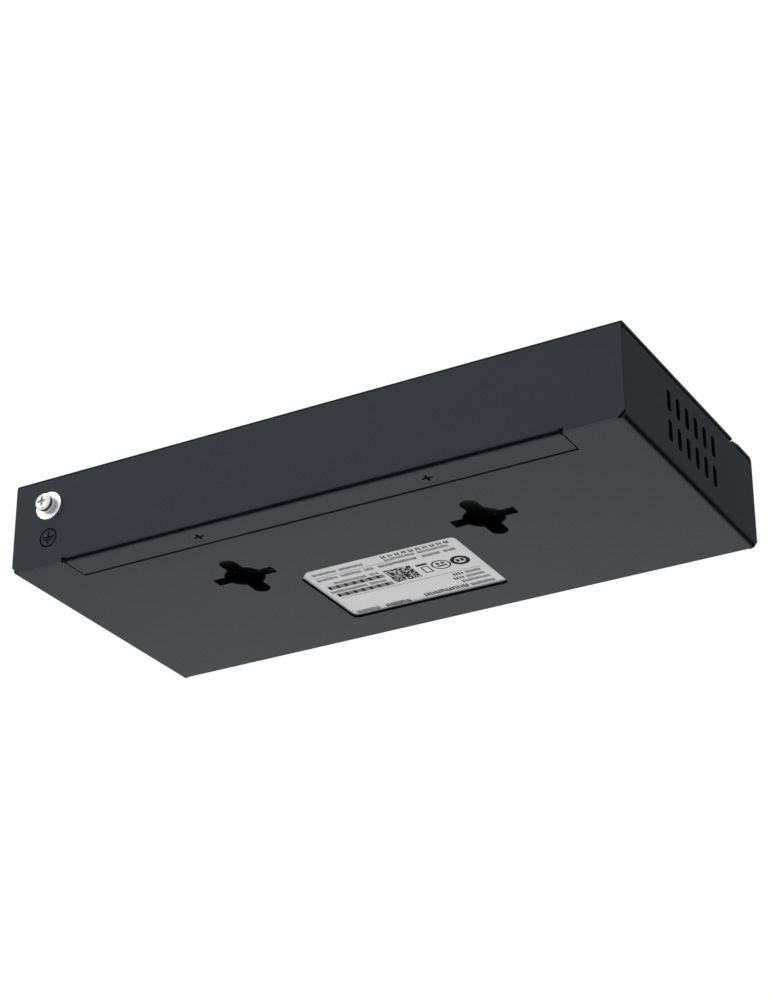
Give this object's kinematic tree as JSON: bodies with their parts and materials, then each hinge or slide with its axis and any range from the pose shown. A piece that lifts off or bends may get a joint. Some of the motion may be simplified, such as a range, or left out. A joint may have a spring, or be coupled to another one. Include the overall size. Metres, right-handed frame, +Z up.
{
  "type": "ethernet switch",
  "caption": "Desktop network switch in a folded steel case with ganged sockets, a barrel power inlet, an earth terminal, side vents and hanging holes.",
  "frame": {"origin": "middle of the case's footprint, on its underside", "axes": "+X along the width, towards the power inlet and the earth terminal; +Y to the rear; -Y the socket side; +Z up"},
  "size_m": [0.19, 0.0925, 0.0283],
  "materials": {
    "case_paint": "charcoal powder coat, fine texture, satin",
    "screw_paint": "steel painted over with the case",
    "label_film": "matt silver-grey printed film",
    "nickel": "nickel plate",
    "board_mask": "black solder mask on glass laminate",
    "standoff_brass": "turned brass",
    "housing_plastic": "moulded black plastic",
    "shield_tin": "tinned sheet",
    "contact_gold": "gold flash over spring wire",
    "inlet_plastic": "moulded black plastic",
    "clear_plastic": "clear moulding",
    "lamp_resin": "clear resin over a lamp",
    "chip_plastic": "moulded package with tinned leads",
    "pad_rubber": "soft filled silicone",
    "sink_aluminium": "plain extrusion",
    "chip_ceramic": "black glaze over alumina",
    "can_aluminium": "drawn can, partly sleeved",
    "choke_ferrite": "ground ferrite",
    "capacitor_ceramic": "fired ceramic with tinned ends"
  },
  "bodies": {
    "root": {"base_tray": "case_paint", "top_cover": "case_paint", "cover_screws": "screw_paint", "rating_label": "label_film", "earth_screw": "nickel", "earth_spring_washer": "nickel", "earth_flat_washer": "nickel", "earth_clinch_nut": "nickel", "circuit_board": "board_mask", "board_standoffs": "standoff_brass", "board_screws": "nickel", "port_housing": "housing_plastic", "port_shield": "shield_tin", "port_contacts": "contact_gold", "uplink_housing": "housing_plastic", "uplink_shield": "shield_tin", "uplink_contacts": "contact_gold", "power_inlet_body": "inlet_plastic", "power_inlet_pin": "nickel", "power_inlet_spring": "shield_tin", "port_light_pipe": "clear_plastic", "uplink_light_pipe": "clear_plastic", "power_light_pipe": "clear_plastic", "indicator_lamps": "lamp_resin", "switch_chip": "chip_plastic", "thermal_pad": "pad_rubber", "heat_sink": "sink_aluminium", "line_transformers": "chip_plastic", "surge_arrestors": "chip_plastic", "chip_resistors": "chip_ceramic", "filter_capacitors": "can_aluminium", "power_chokes": "choke_ferrite", "voltage_regulators": "chip_plastic", "memory_chip": "chip_plastic", "clock_crystal": "shield_tin", "ceramic_capacitors": "capacitor_ceramic", "input_fuse": "capacitor_ceramic"}
  },
  "joints": []
}
